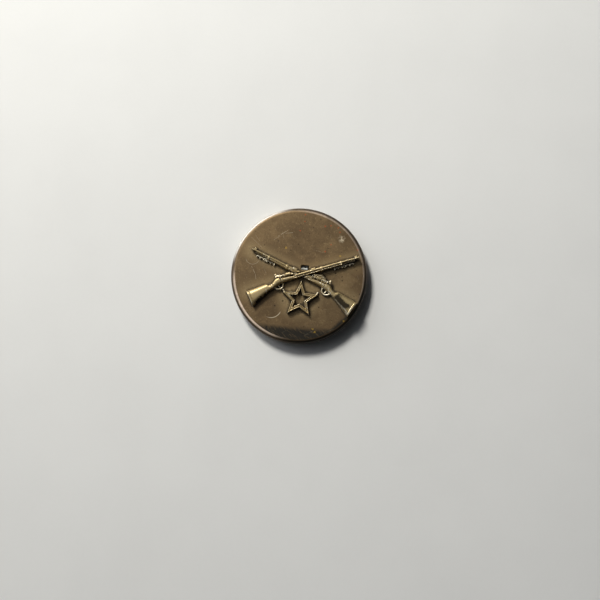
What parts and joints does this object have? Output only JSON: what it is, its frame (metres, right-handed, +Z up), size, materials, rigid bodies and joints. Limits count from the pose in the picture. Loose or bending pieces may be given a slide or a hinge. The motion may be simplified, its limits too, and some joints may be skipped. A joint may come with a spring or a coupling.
{
  "type": "cap badge",
  "caption": "Round brass disc badge with crossed rifles and a pierced star on its face, held through cloth by a threaded post and a notched round nut.",
  "frame": {"origin": "centre of the back rim, in the plane where the disc meets the cloth", "axes": "+Z up as worn, +X to the right of somebody looking at the face, -Y out of the face, +Y along the post into the cloth"},
  "size_m": [0.0254, 0.0123, 0.0254],
  "materials": {
    "disc_brass": "tarnished, brown-olive",
    "emblem_brass": "worn gilt, dark in the hollows",
    "back_brass": "dull",
    "nut_brass": "dull, bright on the notches",
    "tab_metal": "plated, pale grey",
    "solder": "dull soft solder"
  },
  "bodies": {
    "badge": {"disc_shell": "disc_brass", "backing_plate": "back_brass", "locating_tab": "tab_metal", "front_rifle": "emblem_brass", "rear_rifle": "emblem_brass", "star": "emblem_brass", "emblem_solder": "solder", "screw_post": "back_brass", "post_solder": "solder"},
    "washer": {"hub_washer": "nut_brass"},
    "nut": {"nut_plate": "nut_brass", "nut_hub": "nut_brass"}
  },
  "joints": [
    {"name": "nut_travel", "type": "slide", "parent": "badge", "child": "washer", "axis": [0, 1, 0], "range_m": [-0.00079, 0.00794]},
    {"name": "nut_spin", "type": "hinge", "parent": "washer", "child": "nut", "pos_m": [0, 0, 0], "axis": [0, 1, 0], "range_deg": [-450, 4500]}
  ],
  "couplings": [
    {"joint": "nut_spin", "follows": "nut_travel", "rad_per_m": 9894.8}
  ]
}
